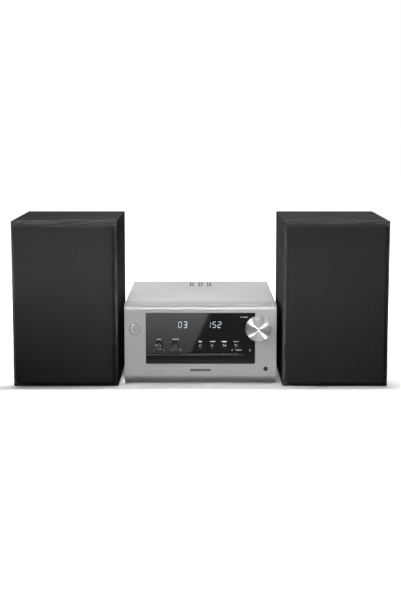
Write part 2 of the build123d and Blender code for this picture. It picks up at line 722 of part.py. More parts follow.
# Baffle with the driver openings, their recesses and the grille's peg holes.
peg_x, peg_low, peg_high, peg_radius, peg_hole = 55.0, 18.0, 210.0, 2.95, 3.0
tweeter_plate, tweeter_body = 27.0, 22.0
port_bore, port_outer = 18.0, 20.2
with BuildPart() as baffle:
    block(inside_x, (speaker_front, speaker_front + baffle_thickness), inside_z)
    behind = speaker_front + baffle_thickness + 1
    rod(0, (speaker_front - 1, speaker_front + 4), woofer_height, flange_radius + 0.4, mode=Mode.SUBTRACT)
    rod(0, (speaker_front - 1, behind), woofer_height, 50.0, mode=Mode.SUBTRACT)
    rod(0, (speaker_front - 1, speaker_front + 3), tweeter_height, tweeter_plate + 0.4, mode=Mode.SUBTRACT)
    rod(0, (speaker_front - 1, behind), tweeter_height, tweeter_body + 0.5, mode=Mode.SUBTRACT)
    for x in (-peg_x, peg_x):
        for z in (peg_low, peg_high):
            rod(x, (speaker_front - 1, speaker_front + 9), z, peg_hole, mode=Mode.SUBTRACT)

with BuildPart() as back_panel:
    block(inside_x, (back_start, speaker_back), inside_z)
    rod(0, (back_start - 1, speaker_back + 1), port_height, port_outer + 0.2, mode=Mode.SUBTRACT)
    block(
        (-27.2, 27.2),
        (back_start - 1, speaker_back + 1),
        (terminal_height - 20.2, terminal_height + 20.2),
        mode=Mode.SUBTRACT,
    )

# Moulded grille frame with a cross bar and four pegs.
frame_border = grille_border + cloth_thickness
frame_half = half_width - frame_border
frame_z = (frame_border, speaker_height - frame_border)
frame_run = (speaker_front - grille_proud + cloth_thickness, speaker_front - 0.3)
frame_round = grille_round - cloth_thickness
bar = 9.0
with BuildPart() as grille_frame:
    block((-frame_half, frame_half), frame_run, frame_z)
    fillet(grille_frame.edges().filter_by(Axis.Y), radius=frame_round + 0.8)
    fillet(grille_frame.faces().sort_by(Axis.Y)[0].edges(), radius=frame_round)
    for z in ((frame_z[0] + bar, 144.0), (150.0, frame_z[1] - bar)):
        block(
            (-frame_half + bar, frame_half - bar),
            (frame_run[0] - 1, frame_run[1] + 1),
            z,
            mode=Mode.SUBTRACT,
        )
    for x in (-peg_x, peg_x):
        for z in (peg_low, peg_high):
            block(
                (min(x, math.copysign(frame_half - 4, x)), max(x, math.copysign(frame_half - 4, x))),
                (frame_run[1] - 3, frame_run[1]),
                (z - 4, z + 4),
            )
            rod(x, (frame_run[1] - 3, speaker_front + 8), z, peg_radius)

# Cloth stretched over the frame's front and sides.
cloth_half = half_width - grille_border
cloth_z = (grille_border, speaker_height - grille_border)
with BuildPart() as frame_room:
    block((-frame_half, frame_half), (frame_run[0], speaker_front + 1), frame_z)
    fillet(frame_room.edges().filter_by(Axis.Y), radius=frame_round + 0.8)
    fillet(frame_room.faces().sort_by(Axis.Y)[0].edges(), radius=frame_round)

with BuildPart() as grille_cloth:
    block((-cloth_half, cloth_half), (speaker_front - grille_proud, speaker_front - 0.5), cloth_z)
    fillet(grille_cloth.edges().filter_by(Axis.Y), radius=grille_round + 0.8)
    fillet(grille_cloth.faces().sort_by(Axis.Y)[0].edges(), radius=grille_round)
    add(frame_room.part, mode=Mode.SUBTRACT)

# Woofer: pressed basket with six windows, and its magnet stack with the pole piece.
magnet_front = speaker_front + 46.0
ledge = speaker_front + 2.2
with BuildPart() as woofer_frame:
    turned(
        [
            (speaker_front + 0.3, 50.5),
            (speaker_front + 0.3, flange_radius),
            (speaker_front + 3.9, flange_radius),
            (speaker_front + 3.9, 49.6),
            (speaker_front + 20.0, 46.0),
            (magnet_front, 28.0),
            (magnet_front, 15.0),
            (magnet_front - 2.0, 15.0),
            (magnet_front - 2.0, 27.0),
            (speaker_front + 19.0, 44.5),
            (speaker_front + 6.0, 47.5),
            (ledge, 48.0),
            (ledge, 50.5),
        ],
        0,
        woofer_height,
    )
    for step in range(6):
        turn = math.radians(60 * step + 30)
        with BuildSketch(facing(speaker_front + 41)):
            with Locations((38 * math.cos(turn), woofer_height + 38 * math.sin(turn))):
                Rectangle(24, 15, rotation=math.degrees(turn))
        extrude(amount=26, mode=Mode.SUBTRACT)
    turned(
        [
            (magnet_front, 14.6),
            (magnet_front, 33.0),
            (magnet_front + 4, 33.0),
            (magnet_front + 4, 37.0),
            (magnet_front + 17, 37.0),
            (magnet_front + 17, 33.0),
            (magnet_front + 21, 33.0),
            (magnet_front + 21, 0),
            (magnet_front + 17, 0),
            (magnet_front + 17, 14.6),
        ],
        0,
        woofer_height,
    )
    rod(0, (magnet_front, magnet_front + 17), woofer_height, 11.6)

# Paper cone with its dust cap and the voice coil's former.
with BuildPart() as woofer_cone:
    turned(
        [
            (ledge - 0.6, cone_edge),
            (ledge + 0.6, cone_edge),
            (ledge + 22.4, 13.4),
            (magnet_front + 10, 13.4),
            (magnet_front + 10, 12.7),
            (ledge + 21.0, 12.7),
            (ledge + 16.4, 17.5),
            (ledge + 12.0, 12.0),
            (ledge + 9.6, 6.0),
            (ledge + 9.0, 0),
            (ledge + 8.2, 0),
            (ledge + 8.8, 6.2),
            (ledge + 11.2, 12.6),
            (ledge + 15.0, 17.9),
        ],
        0,
        woofer_height,
    )

# Soft suspension: the rubber roll glued on the basket's ledge, and the corrugated cloth spider behind.
roll_radius, roll_wall = 3.4, 0.8
roll_middle = cone_edge + 0.6 + roll_radius
spider_y = speaker_front + 40.0
with BuildPart() as woofer_suspension:
    with BuildSketch(Plane(origin=(0, 0, woofer_height), x_dir=(0, 1, 0), z_dir=(1, 0, 0))):
        with Locations((ledge, roll_middle)):
            Circle(roll_radius)
            Circle(roll_radius - roll_wall, mode=Mode.SUBTRACT)
        with Locations((ledge + 2, roll_middle)):
            Rectangle(4, 3 * roll_radius, mode=Mode.SUBTRACT)
        with Locations((ledge - roll_wall / 2, roll_middle + 4.5)):
            Rectangle(roll_wall, 3.6)
        with BuildLine():
            Polyline(
                (spider_y - 0.8, 14.0),
                (spider_y + 0.8, 17.5),
                (spider_y - 0.8, 21.0),
                (spider_y + 0.8, 24.5),
                (spider_y - 0.8, 28.0),
                (spider_y - 0.8, 29.0),
                (spider_y - 0.2, 29.0),
                (spider_y - 0.2, 28.2),
                (spider_y + 1.4, 24.5),
                (spider_y - 0.2, 21.0),
                (spider_y + 1.4, 17.5),
                (spider_y - 0.2, 14.0),
                close=True,
            )
        make_face()
    revolve(axis=Axis((0, 0, woofer_height), (0, 1, 0)))

# Tweeter: plate, dome and motor.
with BuildPart() as tweeter:
    turned(
        [
            (speaker_front + 1.6, 14.2),
            (speaker_front + 0.3, 19.0),
            (speaker_front + 0.3, tweeter_plate),
            (speaker_front + 2.8, tweeter_plate),
            (speaker_front + 2.8, tweeter_body),
            (speaker_front + 24.0, tweeter_body),
            (speaker_front + 24.0, 0),
            (speaker_front + 5.0, 0),
            (speaker_front + 5.0, 14.2),
        ],
        0,
        tweeter_height,
    )
    turned(
        [
            (speaker_front + 5.0, 0),
            (speaker_front + 5.0, 12.4),
            (speaker_front + 3.4, 12.4),
            (speaker_front + 1.2, 9.0),
            (speaker_front - 0.2, 4.6),
            (speaker_front - 0.6, 0),
        ],
        0,
        tweeter_height,
    )

# Flared port tube through the back panel.
with BuildPart() as port_tube:
    turned(
        [
            (speaker_back - 80, port_bore),
            (speaker_back - 80, port_outer),
            (speaker_back, port_outer),
            (speaker_back, 26.0),
            (speaker_back + 1.6, 26.0),
            (speaker_back + 1.6, 23.0),
            (speaker_back + 0.4, port_outer),
            (speaker_back - 1.6, port_bore + 0.8),
            (speaker_back - 6.0, port_bore),
        ],
        0,
        port_height,
    )

# Terminal cup with a rim outside the back panel, a well for two push levers, and two metal wire sleeves
# pressed into its floor.
lever_x = 12.0
lever_pivot = terminal_height + 9.0
wire_z = terminal_height - 10.0
sleeve_radius, wire_radius = 4.0, 1.6
pin_radius = 1.2
press_gap = 0.05
with BuildPart() as terminal_cup:
    block((-31, 31), (speaker_back, speaker_back + 1.6), (terminal_height - 24, terminal_height + 24))
    fillet(terminal_cup.edges().filter_by(Axis.Y), radius=3.0)
    block((-27, 27), (speaker_back - 20, speaker_back), (terminal_height - 20, terminal_height + 20))
    block(
        (-24, 24),
        (speaker_back - 17, speaker_back + 3),
        (terminal_height - 17, terminal_height + 17),
        mode=Mode.SUBTRACT,
    )
    for side in (-1, 1):
        x = side * lever_x
        for cheek in (-1, 1):
            inner = x + cheek * 6.3
            edge = sorted((inner, inner + cheek * 1.6))
            block(
                tuple(edge),
                (speaker_back - 17, speaker_back - 2),
                (lever_pivot - 4, terminal_height + 17),
            )
        rod((x - 7.0, x + 7.0), speaker_back - 8, lever_pivot, pin_radius)
        pocket = speaker_back - 18.5
        rod(x, (pocket, speaker_back - 16), wire_z, sleeve_radius + press_gap, mode=Mode.SUBTRACT)
        rod(x, (pocket + press_gap, speaker_back - 9), wire_z, sleeve_radius)
        rod(x, (speaker_back - 16, speaker_back - 8), wire_z, wire_radius, mode=Mode.SUBTRACT)

pieces = {
    "cabinet": cabinet,
    "baffle": baffle,
    "back_panel": back_panel,
    "grille_frame": grille_frame,
    "grille_cloth": grille_cloth,
    "woofer_frame": woofer_frame,
    "woofer_cone": woofer_cone,
    "woofer_suspension": woofer_suspension,
    "tweeter": tweeter,
    "port_tube": port_tube,
    "terminal_cup": terminal_cup,
}
for side, middle in (("left", -speaker_middle), ("right", speaker_middle)):
    for name, piece in pieces.items():
        save(Pos(middle, 0, 0) * piece.part, f"{name}_{side}")
    # Sprung push levers, one for each wire, turning on the pins in the cup.
    for colour, x in (("black", -lever_x), ("red", lever_x)):
        with BuildPart() as lever:
            with BuildSketch(Plane(origin=(x - 6.0, 0, 0), x_dir=(0, 1, 0), z_dir=(1, 0, 0))):
                with BuildLine():
                    Polyline(
                        (speaker_back - 10.5, lever_pivot + 3.0),
                        (speaker_back - 2.5, lever_pivot + 3.0),
                        (speaker_back + 1.2, lever_pivot - 6.0),
                        (speaker_back + 1.2, lever_pivot - 11.0),
                        (speaker_back - 1.4, lever_pivot - 11.0),
                        (speaker_back - 5.6, lever_pivot - 3.0),
                        (speaker_back - 10.5, lever_pivot - 3.0),
                        close=True,
                    )
                make_face()
            extrude(amount=12.0)
            rod((x - 7, x + 7), speaker_back - 8, lever_pivot, pin_radius + press_gap, mode=Mode.SUBTRACT)
        save(Pos(middle, 0, 0) * lever.part, f"{colour}_lever_{side}")
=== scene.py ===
import math

import bmesh
import bpy
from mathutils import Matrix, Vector


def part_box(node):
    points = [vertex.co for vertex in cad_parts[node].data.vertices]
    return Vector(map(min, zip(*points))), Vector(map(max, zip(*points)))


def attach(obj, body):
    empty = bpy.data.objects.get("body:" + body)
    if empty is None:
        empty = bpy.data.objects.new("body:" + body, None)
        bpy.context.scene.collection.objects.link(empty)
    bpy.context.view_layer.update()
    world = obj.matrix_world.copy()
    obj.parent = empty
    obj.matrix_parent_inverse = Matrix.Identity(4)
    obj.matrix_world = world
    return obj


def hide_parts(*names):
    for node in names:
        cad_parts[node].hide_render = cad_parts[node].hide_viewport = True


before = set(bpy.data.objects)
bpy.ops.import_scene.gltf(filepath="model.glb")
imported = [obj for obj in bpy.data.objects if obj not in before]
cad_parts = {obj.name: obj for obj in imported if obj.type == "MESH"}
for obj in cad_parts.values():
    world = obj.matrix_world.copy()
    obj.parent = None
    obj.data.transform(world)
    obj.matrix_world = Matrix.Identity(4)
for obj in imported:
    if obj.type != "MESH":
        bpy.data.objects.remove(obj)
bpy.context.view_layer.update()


# ---- speaker cabinets ------------------------------------------------------------------------------
# Each cabinet is a sleeve folded from fibreboard and wrapped in black ash foil. The foil's grain runs
# round the sleeve: upright on the sides, across on the top, and along each of the square front edges.
class Wire:
    """One output in a finish. Sums and products of wires and numbers add their own Math nodes."""

    def __init__(self, finish, socket):
        self.finish = finish
        self.socket = socket

    def maths(self, operation, *values):
        return self.finish.maths(operation, *values)

    def __add__(self, other):
        return self.maths("ADD", self, other)

    def __radd__(self, other):
        return self.maths("ADD", other, self)

    def __sub__(self, other):
        return self.maths("SUBTRACT", self, other)

    def __rsub__(self, other):
        return self.maths("SUBTRACT", other, self)

    def __mul__(self, other):
        return self.maths("MULTIPLY", self, other)

    def __gt__(self, other):
        return self.maths("GREATER_THAN", self, other)

    def __abs__(self):
        return self.maths("ABSOLUTE", self)

    def __pow__(self, other):
        return self.maths("POWER", self, other)


class Finish:
    """A surface finish: a Principled shader whose plain settings are given when it is made."""

    def __init__(self, name, **settings):
        self.material = bpy.data.materials.new(name)
        self.material.use_nodes = True
        self.tree = self.material.node_tree
        self.shader = self.tree.nodes["Principled BSDF"]
        for label, value in settings.items():
            self.shader.inputs[label.replace("_", " ")].default_value = value

    def node(self, kind, settings=None, sockets=(), out=0):
        """Adds a node: its settings first, then the values or wires of its sockets."""
        made = self.tree.nodes.new(kind)
        for key, value in (settings or {}).items():
            setattr(made, key, value)
        for key, value in sockets.items() if isinstance(sockets, dict) else enumerate(sockets):
            self.join(value, made.inputs[key])
        return Wire(self, made.outputs[out])

    def maths(self, operation, *values):
        return self.node("ShaderNodeMath", {"operation": operation}, values)

    def join(self, value, socket):
        if isinstance(value, Wire):
            self.tree.links.new(value.socket, socket)
        else:
            socket.default_value = value

    def feed(self, **sockets):
        """Sends wires to the shader, each to the socket of that name."""
        for label, value in sockets.items():
            self.join(value, self.shader.inputs[label.replace("_", " ")])

    def place(self):
        """The x, y and z of a point on the piece, in metres."""
        spot = self.node("ShaderNodeTexCoord", out=3)
        return [self.node("ShaderNodeSeparateXYZ", sockets=[spot], out=i) for i in range(3)]

    def facing(self):
        """The x, y and z of the surface's own direction."""
        way = self.node("ShaderNodeNewGeometry", out=1)
        return [self.node("ShaderNodeSeparateXYZ", sockets=[way], out=i) for i in range(3)]

    def noise(self, x, y, z, detail=3.0, distortion=0.0):
        """Cloudy noise, about 0.5 on average, at a point made of three wires or numbers."""
        spot = self.node("ShaderNodeCombineXYZ", sockets=[x, y, z])
        shape = {"Vector": spot, "Scale": 1.0, "Detail": detail, "Roughness": 0.55, "Distortion": distortion}
        return self.node("ShaderNodeTexNoise", {}, shape)

    def blend(self, amount, low, high):
        """A colour between two others; a plain number stands for a grey."""
        low, high = ((*tone, 1) if isinstance(tone, tuple) else (tone, tone, tone, 1) for tone in (low, high))
        return self.node("ShaderNodeMix", {"data_type": "RGBA"}, {0: amount, 6: low, 7: high}, out=2)

    def bump(self, height, depth):
        """Relief of that depth in metres."""
        relief = {"Strength": 1.0, "Distance": depth, "Height": height}
        self.feed(Normal=self.node("ShaderNodeBump", {}, relief))


def dress(finish, *nodes):
    """Puts a finish on CAD nodes that keep their own shape."""
    for name in nodes:
        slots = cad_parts[name].data.materials
        slots.clear()
        slots.append(finish.material)


sides = ("left", "right")
ash = Finish("ash_wrap", Specular_IOR_Level=0.0)
x, y, z = ash.place()
on_top = abs(ash.facing()[2]) > 0.5
on_front = abs(ash.facing()[1]) > 0.5
# The sleeve's front edge runs across at its top and bottom, and upright between them.
cabinet_middle, rim_start = 0.114, 0.105
on_rim = on_front * (abs(z - cabinet_middle) > rim_start)
along = z + (on_top + on_rim) * (x - z)
across = y + on_front * (x - y) + on_rim * (z - x)
waver = ash.noise(along * 9, across * 14, 2.0, detail=2)
broad = ash.noise(along * 6, across * 150 + waver * 6, on_top * 5, detail=4)
pores = ash.noise(along * 30, across * 900 + waver * 36, on_top * 7, detail=2)
grain = broad * 0.42 + pores * 0.58
open_pores = ash.node("ShaderNodeMapRange", {}, {"Value": grain, "From Min": 0.40, "From Max": 0.62})
ash.feed(
    Base_Color=ash.blend(open_pores, (0.028, 0.028, 0.0285), (0.100, 0.099, 0.099)),
    Roughness=0.62 - open_pores * 0.2,
)
ash.bump(open_pores, 0.00014)
dress(ash, *(f"cabinet_{side}" for side in sides))

# ---- baffles and back boards -----------------------------------------------------------------------
# Boards let into the sleeve at the front and back, sprayed matt black; the spray leaves a fine pebble.
board_paint = Finish("board_paint")
x, y, z = board_paint.place()
pebble = board_paint.noise(x * 1500, y * 1500, z * 1500, detail=2)
patches = board_paint.noise(x * 18, y * 18, z * 18)
board_paint.feed(
    Base_Color=board_paint.blend(patches, 0.012, (0.022, 0.022, 0.023)),
    Roughness=0.55 + patches * 0.2,
)
board_paint.bump(pebble, 0.00006)
for side in sides:
    dress(board_paint, f"baffle_{side}", f"back_panel_{side}")


# ---- woofers ---------------------------------------------------------------------------------------
# A pressed steel basket in black paint with its magnet behind, a black pulp cone with a pressed dust
# cap, a rubber roll, and a cloth spider. Six pan-head screws hold the basket to the baffle.
def mottled(name, scale, dark, light, rough, vary, depth=None, fine=None, detail=3.0, **settings):
    """A finish whose colour and roughness drift with one noise, of scale waves per metre.

    Its relief, depth metres deep, follows the same noise, or a finer one where fine gives its scale.
    """
    finish = Finish(name, **settings)
    x, y, z = finish.place()
    wide, deep, tall = scale if isinstance(scale, tuple) else (scale,) * 3
    drift = finish.noise(x * wide, y * deep, z * tall, detail=detail)
    finish.feed(Base_Color=finish.blend(drift, dark, light), Roughness=rough + drift * vary)
    if depth:
        finish.bump(finish.noise(x * fine, y * fine, z * fine) if fine else drift, depth)
    return finish


def centre(name):
    """The middle of a CAD node's box."""
    low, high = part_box(name)
    return (low + high) / 2


def piece(name, body, finish, build, smooth=35, bevel=None):
    """Makes a mesh piece that build() fills in, and lets it ride on a body."""
    mesh = bpy.data.meshes.new(name)
    work = bmesh.new()
    build(work)
    bmesh.ops.remove_doubles(work, verts=work.verts, dist=1e-7)
    bmesh.ops.recalc_face_normals(work, faces=work.faces)
    work.to_mesh(mesh)
    work.free()
    made = bpy.data.objects.new(name, mesh)
    bpy.context.scene.collection.objects.link(made)
    mesh.materials.append(finish.material)
    if bevel:
        soften = made.modifiers.new("soft_edges", "BEVEL")
        soften.width = bevel
        soften.segments = 2
        soften.limit_method = "ANGLE"
    mesh.shade_smooth()
    sharp = made.modifiers.new("creases", "EDGE_SPLIT")
    sharp.split_angle = math.radians(smooth)
    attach(made, body)
    return made


def ring_of(work, spot, axis, profile, turns=32):
    """Turns a profile of (distance along axis, radius) about a line through spot."""
    axis = Vector(axis).normalized()
    first = axis.orthogonal().normalized()
    second = axis.cross(first)
    rings = []
    for along, radius in profile:
        middle = Vector(spot) + axis * along
        if radius < 1e-7:
            rings.append([work.verts.new(middle)])
            continue
        angles = [2 * math.pi * k / turns for k in range(turns)]
        ways = [math.cos(a) * first + math.sin(a) * second for a in angles]
        rings.append([work.verts.new(middle + radius * way) for way in ways])
    for low, high in zip(rings, rings[1:]):
        for k in range(turns):
            path = (low, k), (low, k + 1), (high, k + 1), (high, k)
            corners = list(dict.fromkeys(ring[step % len(ring)] for ring, step in path))
            if len(corners) > 2:
                work.faces.new(corners)


def screw(work, spot, out, radius, proud):
    """A cross-recessed pan-head screw whose head stands proud of spot in the direction out."""
    dome = [(0, radius), (proud * 0.45, radius), (proud * 0.8, radius * 0.82), (proud, radius * 0.5)]
    recess = [(proud * 0.98, radius * 0.34), (proud * 0.35, radius * 0.22), (proud * 0.2, 0)]
    ring_of(work, spot, out, [(0, 0), *dome, *recess], turns=16)


basket = mottled("basket_paint", 700, 0.014, 0.03, 0.32, 0.16, depth=0.00004)
roll_rubber = mottled("roll_rubber", 60, 0.012, 0.03, 0.45, 0.25, depth=0.00003, fine=1200)
zinc_dark, zinc_light = (0.03, 0.03, 0.032), (0.09, 0.09, 0.095)
black_zinc = mottled("black_zinc_screws", 2500, zinc_dark, zinc_light, 0.28, 0.2, Metallic=0.9)

pulp = Finish("cone_pulp")
x, y, z = pulp.place()
fibre = pulp.noise(x * 900, y * 250, z * 900, detail=5, distortion=1.5)
pulp.feed(Base_Color=pulp.blend(fibre, 0.018, (0.06, 0.06, 0.058)), Roughness=0.95 - fibre * 0.25)
pulp.bump(fibre, 0.0002)


def screws_round(middle, face, circle, turns, radius, proud):
    """Screws at these turns, in degrees, on a circle of that radius on a face of the speaker."""

    def build(work):
        for turn in map(math.radians, turns):
            spot = (middle.x + circle * math.cos(turn), face, middle.z + circle * math.sin(turn))
            screw(work, spot, (0, -1, 0), radius, proud)

    return build


for side in sides:
    dress(basket, f"woofer_frame_{side}")
    dress(pulp, f"woofer_cone_{side}")
    dress(roll_rubber, f"woofer_suspension_{side}")
    node = f"woofer_frame_{side}"
    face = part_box(node)[0].y
    six = screws_round(centre(node), face, 0.0545, range(0, 360, 60), radius=0.0026, proud=0.0012)
    piece(f"woofer_screws_{side}", f"speaker_{side}", black_zinc, six)

# ---- tweeters --------------------------------------------------------------------------------------
# A moulded face plate with a short flare round a doped silk dome, held by three small screws.
plate = mottled("tweeter_moulding", 1800, 0.012, (0.024, 0.024, 0.025), 0.35, 0.2, depth=0.00003)
for side in sides:
    dress(plate, f"tweeter_{side}")
    node = f"tweeter_{side}"
    countersink = 0.0009
    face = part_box(node)[0].y + countersink
    three = screws_round(centre(node), face, 0.0232, (90, 210, 330), radius=0.0019, proud=countersink)
    piece(f"tweeter_screws_{side}", f"speaker_{side}", black_zinc, three)

# ---- grilles ---------------------------------------------------------------------------------------
# Knitted black cloth, cut to a cross, pulled over the rounded front edges of a moulded frame and glued
# round its sides. Its stitches run in upright wales about a millimetre apart.
moulding = mottled("black_moulding", 2200, 0.012, 0.026, 0.42, 0.2, depth=0.00004)

knit = Finish("knitted_grille_cloth", Specular_IOR_Level=0.0, Sheen_Weight=0.01, Sheen_Roughness=0.5)
x, y, z = knit.place()
wander = knit.noise(x * 45, y * 45, z * 45)
wale = knit.maths("SINE", (x + wander * 0.0006) * 6300)
course = knit.maths("SINE", (z + wander * 0.0006) * 8400 + wale * 1.2)
stitch = wale * 0.25 + course * 0.25 + 0.5
fluff = knit.noise(x * 900, y * 900, z * 900)
streaks = knit.noise(x * 260, y * 30, z * 30)
shade = stitch * 0.55 + fluff * 0.25 + streaks * 0.2
knit.feed(
    Base_Color=knit.blend(shade, (0.011, 0.011, 0.0113), (0.034, 0.034, 0.035)),
    Roughness=0.95 - fluff * 0.15,
)
knit.bump(stitch * 0.8 + fluff * 0.2, 0.00018)
front_round, corner_round, cloth_thickness, sag = 0.0042, 0.0050, 0.0005, 0.00025

for side in sides:
    dress(moulding, f"grille_frame_{side}")
    low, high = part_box(f"grille_cloth_{side}")
    middle = (low + high) / 2
    half_width, half_height, deep = (high.x - low.x) / 2, (high.z - low.z) / 2, high.y - low.y

    def outline(inset):
        """Points round the grille, seen from the front, moved in by inset."""
        radius = max(corner_round - inset, 0.0006)
        wide, tall = half_width - inset - radius, half_height - inset - radius

        def on_corner(corner, degrees):
            across, up = [(1, 1), (-1, 1), (-1, -1), (1, -1)][corner % 4]
            turn = math.radians(degrees)
            return across * wide + radius * math.cos(turn), up * tall + radius * math.sin(turn)

        points = []
        for corner in range(4):
            points += [on_corner(corner, 90 * corner + 9 * k) for k in range(11)]
            # Straight runs are divided so that the cloth can sag between the corners.
            start, end = points[-1], on_corner(corner + 1, 90 * corner + 90)
            for share in (k / 12 for k in range(1, 12)):
                points.append(tuple(a + (b - a) * share for a, b in zip(start, end)))
        return points

    def cloth(work):
        layers = [(0.0, deep), (0.0, deep * 0.7)]
        for k in range(7):
            turn = math.radians(15 * k)
            layers.append((front_round * (1 - math.cos(turn)), front_round * (1 - math.sin(turn))))
        shapes = [[(a, b, depth) for a, b in outline(inset)] for inset, depth in layers]
        rim = shapes[-1]
        for k in range(1, 14):
            shrink = 1 - k / 14
            ring = []
            for a, b, depth in rim:
                # The open bays between the frame's bars let the cloth sink by a hair's breadth.
                sink = sag * math.sin(math.pi * min(1.0, k / 5) / 2)
                ring.append((a * shrink, b * shrink, depth + sink))
            shapes.append(ring)
        rings = []
        for shape in shapes:
            rings.append([work.verts.new((middle.x + a, low.y + d, middle.z + b)) for a, b, d in shape])
        count = len(rings[0])
        for outer, inner in zip(rings, rings[1:]):
            for k in range(count):
                work.faces.new([outer[k], outer[(k + 1) % count], inner[(k + 1) % count], inner[k]])
        top = work.verts.new((middle.x, low.y + sag, middle.z))
        for k in range(count):
            work.faces.new([rings[-1][k], rings[-1][(k + 1) % count], top])

    skin = piece(f"grille_skin_{side}", f"grille_{side}", knit, cloth, smooth=80)
    double = skin.modifiers.new("cloth_thickness", "SOLIDIFY")
    double.thickness = cloth_thickness
    double.offset = -1
    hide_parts(f"grille_cloth_{side}")
    wrap = 2 * (deep - front_round) + math.pi * front_round - 2 * front_round
    flat = (2 * half_width + wrap, 2 * half_height + wrap)
    notch = wrap / 2
    area = flat[0] * flat[1] - 4 * notch * notch

# ---- ports, terminal cups and levers ---------------------------------------------------------------
# A flared port tube and a terminal cup, both moulded in black, let into the back board. The cup is held
# by four screws and carries a red and a black push lever for the bare ends of the speaker wire.
lever_look = {"depth": 0.00002, "fine": 1500, "Coat_Weight": 0.2}
lever_red = mottled("lever_red", 120, (0.36, 0.012, 0.012), (0.47, 0.02, 0.018), 0.28, 0.14, **lever_look)
lever_black = mottled("lever_black", 120, 0.012, 0.03, 0.26, 0.14, **lever_look)

for side in sides:
    dress(moulding, f"port_tube_{side}", f"terminal_cup_{side}")
    dress(lever_red, f"red_lever_{side}")
    dress(lever_black, f"black_lever_{side}")
    middle = centre(f"terminal_cup_{side}")
    cup_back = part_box(f"terminal_cup_{side}")[1].y

    def cup_screws(work):
        for across, up in ((-0.0272, -0.0202), (-0.0272, 0.0202), (0.0272, -0.0202), (0.0272, 0.0202)):
            screw(work, (middle.x + across, cup_back, middle.z + up), (0, 1, 0), 0.0022, 0.0011)

    piece(f"cup_screws_{side}", f"speaker_{side}", black_zinc, cup_screws)

# ---- amplifier chassis -----------------------------------------------------------------------------
# The floor pan is zinc-plated steel with turned-up sides; four rubber feet are pushed into it.
zinc = Finish("zinc_plate", Metallic=1.0)
x, y, z = zinc.place()
whole_place = zinc.node("ShaderNodeTexCoord", out=3)
spangle = zinc.node("ShaderNodeTexVoronoi", {}, {"Vector": whole_place, "Scale": 260.0}, out=1)
drawn = zinc.noise(x * 900, y * 30, z * 900)
crystals = zinc.node("ShaderNodeSeparateColor", {}, [spangle])
zinc.feed(
    Base_Color=zinc.blend(crystals * 0.5 + drawn * 0.5, (0.42, 0.43, 0.44), (0.66, 0.67, 0.68)),
    Roughness=0.30 + drawn * 0.22,
)
zinc.bump(drawn, 0.00002)
dress(zinc, "bottom_chassis")

foot_rubber = mottled("foot_rubber", 400, 0.012, (0.035, 0.035, 0.034), 0.7, 0.2, depth=0.00005)
dress(foot_rubber, "feet")

# ---- transformer, boards and heat sink -------------------------------------------------------------
# A varnished mains transformer, fibreglass boards with their parts, and a finned heat sink, extruded in
# aluminium, that stands under the cover's vents.
varnish = Finish("varnished_laminations", Metallic=0.6)
x, y, z = varnish.place()
sheets = varnish.maths("SINE", z * 9000)
runs = varnish.noise(x * 60, y * 60, z * 20)
varnish.feed(
    Base_Color=varnish.blend(runs, (0.05, 0.04, 0.032), (0.15, 0.12, 0.09)),
    Roughness=0.3 + runs * 0.25,
)
varnish.bump(sheets * 0.5 + 0.5, 0.00008)
dress(varnish, "power_transformer")

mask_green = Finish("solder_mask", Coat_Weight=0.3)
x, y, z = mask_green.place()
spread_flat = mask_green.node("ShaderNodeCombineXYZ", sockets=[x * 60, y * 60 + z * 60, 0.0])
tracks = mask_green.node("ShaderNodeTexBrick", {}, {"Vector": spread_flat, "Scale": 3.0}, out=1)
cloud = mask_green.noise(x * 90, y * 90, z * 90)
mask_green.feed(
    Base_Color=mask_green.blend(tracks * 0.5 + cloud * 0.5, (0.012, 0.07, 0.03), (0.03, 0.15, 0.07)),
    Roughness=0.32 + cloud * 0.2,
)
mask_green.bump(tracks, 0.00003)


def dress_faces(finish, name, rule):
    """Puts a second finish on the faces of a CAD node whose middle and direction meet the rule."""
    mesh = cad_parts[name].data
    mesh.materials.append(finish.material)
    for face in mesh.polygons:
        if rule(face.center, face.normal):
            face.material_index = len(mesh.materials) - 1


dress(mask_green, "main_board", "front_board")
under_board, board_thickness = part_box("main_board")[0].z, 0.0016
dress_faces(moulding, "main_board", lambda spot, way: spot.z > under_board + board_thickness + 0.0001)
dress_faces(zinc, "main_board", lambda spot, way: spot.z > under_board + 0.01 and way.z > 0.9)
# The front board lies between the parts on its two faces.
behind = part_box("front_board")[1].y
dress_faces(moulding, "front_board", lambda spot, way: not behind - 0.0066 <= spot.y <= behind - 0.0041)

aluminium = (0.50, 0.50, 0.51), (0.68, 0.68, 0.69)
extrusion = mottled(
    "heat_sink_extrusion", (1500, 1500, 20), *aluminium, 0.34, 0.2, depth=0.00003, Metallic=1.0
)
dress(extrusion, "heat_sink")

# ---- disc drive ------------------------------------------------------------------------------------
# A glass-filled grey frame with acetal gears, two small motors in plated cans, a turntable with a soft
# ring, a clamp puck, and a laser sled on ground rods. The drawer is moulded in black.
glass_grey = (0.16, 0.16, 0.165), (0.25, 0.25, 0.255)
frame_grey = mottled("drive_moulding", (500, 1400, 500), *glass_grey, 0.5, 0.2, depth=0.00005, detail=4)
dress(frame_grey, "loader_frame")

ivory = (0.66, 0.64, 0.58), (0.78, 0.77, 0.72)
waxy = {"Subsurface_Weight": 0.1, "Subsurface_Radius": (0.002, 0.002, 0.002)}
acetal = mottled("acetal", 200, *ivory, 0.36, 0.15, depth=0.00002, fine=1800, **waxy)
dress(acetal, "tray_gear", "drive_pinion", "feed_gear")

dress(zinc, "drive_motors", "guide_rods")

tray_dark, tray_light = (0.014, 0.014, 0.015), (0.03, 0.03, 0.031)
tray_black = mottled("drawer_moulding", 2600, tray_dark, tray_light, 0.5, 0.2, depth=0.00005)
dress(tray_black, "cd_tray", "turntable", "clamp_puck", "pickup_sled")

